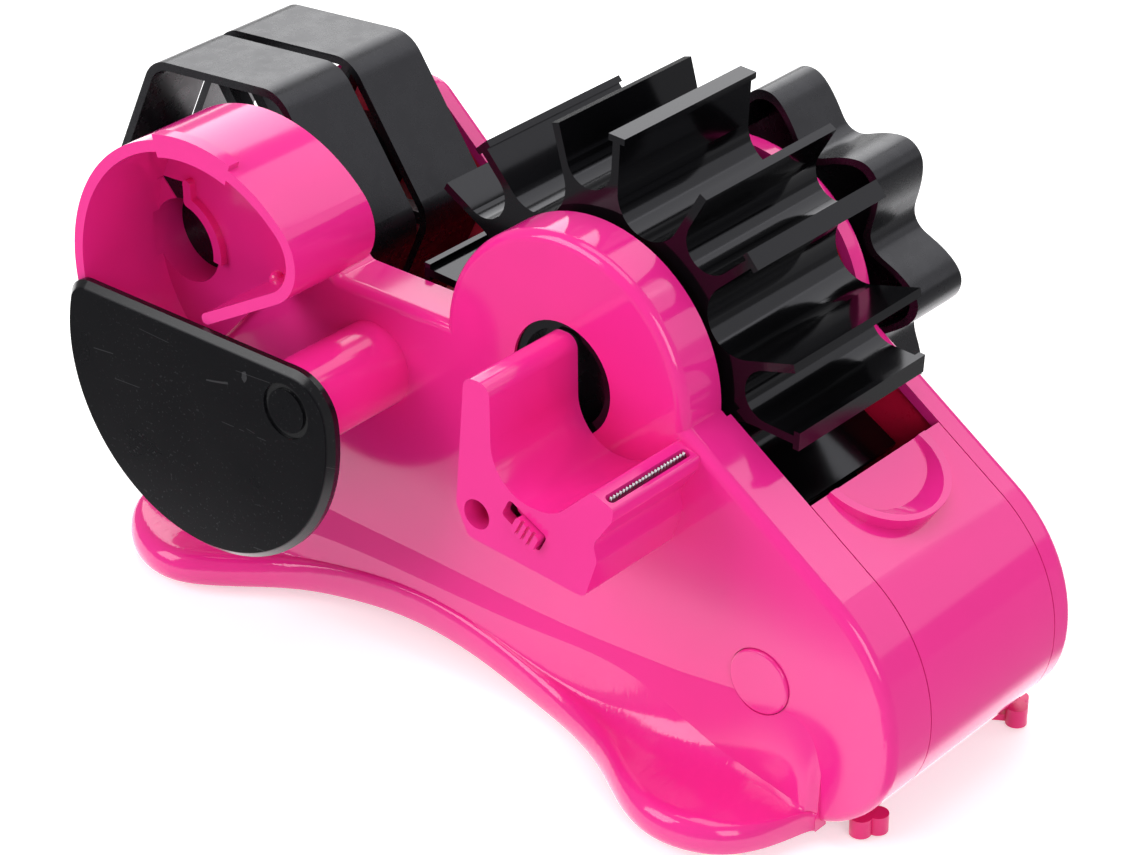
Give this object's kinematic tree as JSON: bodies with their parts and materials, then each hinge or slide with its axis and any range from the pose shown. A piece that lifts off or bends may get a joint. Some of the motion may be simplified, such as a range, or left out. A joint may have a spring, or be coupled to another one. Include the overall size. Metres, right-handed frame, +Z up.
{
  "type": "tape dispenser",
  "caption": "Desktop multi-roll tape dispenser: finned cutting drum turned by a lobed hand wheel, six-sided roll hub, side cup with swinging plate and a small side cutter.",
  "frame": {"origin": "on the rest plane, under the middle of the whole part", "axes": "+X to the front, where tape is taken off; +Y to the hand wheel's side, away from the cup; +Z up"},
  "size_m": [0.2342, 0.1152, 0.1359],
  "materials": {
    "pink_gloss": "glossy moulded hot pink",
    "black_gloss": "glossy moulded black",
    "black_satin": "satin moulded black",
    "pink_rubber": "soft satin pink",
    "blade_steel": "ground serrated steel",
    "zinc_steel": "zinc-plated steel"
  },
  "bodies": {
    "base": {"near_casing": "pink_gloss", "far_casing": "pink_gloss", "near_inner_panel": "pink_gloss", "far_inner_panel": "pink_gloss", "base_plate": "pink_gloss", "near_side_cap": "pink_gloss", "side_cup": "pink_gloss", "side_tube": "pink_gloss", "cutter_body": "pink_gloss", "cutter_blade": "blade_steel", "cutter_screws": "zinc_steel", "hub_key": "black_satin", "blade_holder": "black_gloss", "drum_blade": "blade_steel", "holder_screws": "zinc_steel", "casing_screws": "zinc_steel", "foot_front_near": "pink_rubber", "foot_front_far": "pink_rubber", "foot_rear_near": "pink_rubber", "foot_rear_far": "pink_rubber"},
    "drum": {"fin_drum": "black_gloss", "drum_cap": "black_satin", "hand_wheel": "black_satin", "wheel_screw": "zinc_steel", "wheel_washer": "zinc_steel"},
    "roll_hub": {"hub_ring_near": "black_satin", "hub_ring_far": "black_satin", "hub_axle": "black_satin"},
    "plate": {"retaining_plate": "black_satin", "plate_screw": "zinc_steel", "plate_washer": "zinc_steel"},
    "cover": {"front_cover": "pink_gloss"},
    "latch": {"cutter_latch": "pink_gloss"}
  },
  "joints": [
    {"name": "drum_spin", "type": "hinge", "parent": "base", "child": "drum", "pos_m": [0.03013, 0.0076, 0.085], "axis": [0, 1, 0], "continuous": true},
    {"name": "hub_spin", "type": "hinge", "parent": "base", "child": "roll_hub", "pos_m": [-0.07837, 0.0076, 0.0822], "axis": [0, 1, 0], "continuous": true},
    {"name": "plate_swing", "type": "hinge", "parent": "base", "child": "plate", "pos_m": [-0.02297, -0.0514, 0.0699], "axis": [0, -1, 0], "range_deg": [0, 75]},
    {"name": "cover_open", "type": "hinge", "parent": "base", "child": "cover", "pos_m": [0.11063, 0.0076, 0.02], "axis": [0, 1, 0], "range_deg": [0, 60]},
    {"name": "latch_slide", "type": "slide", "parent": "base", "child": "latch", "axis": [-0.8878, 0, 0.4602], "range_m": [-0.0004, 0.0036]}
  ]
}
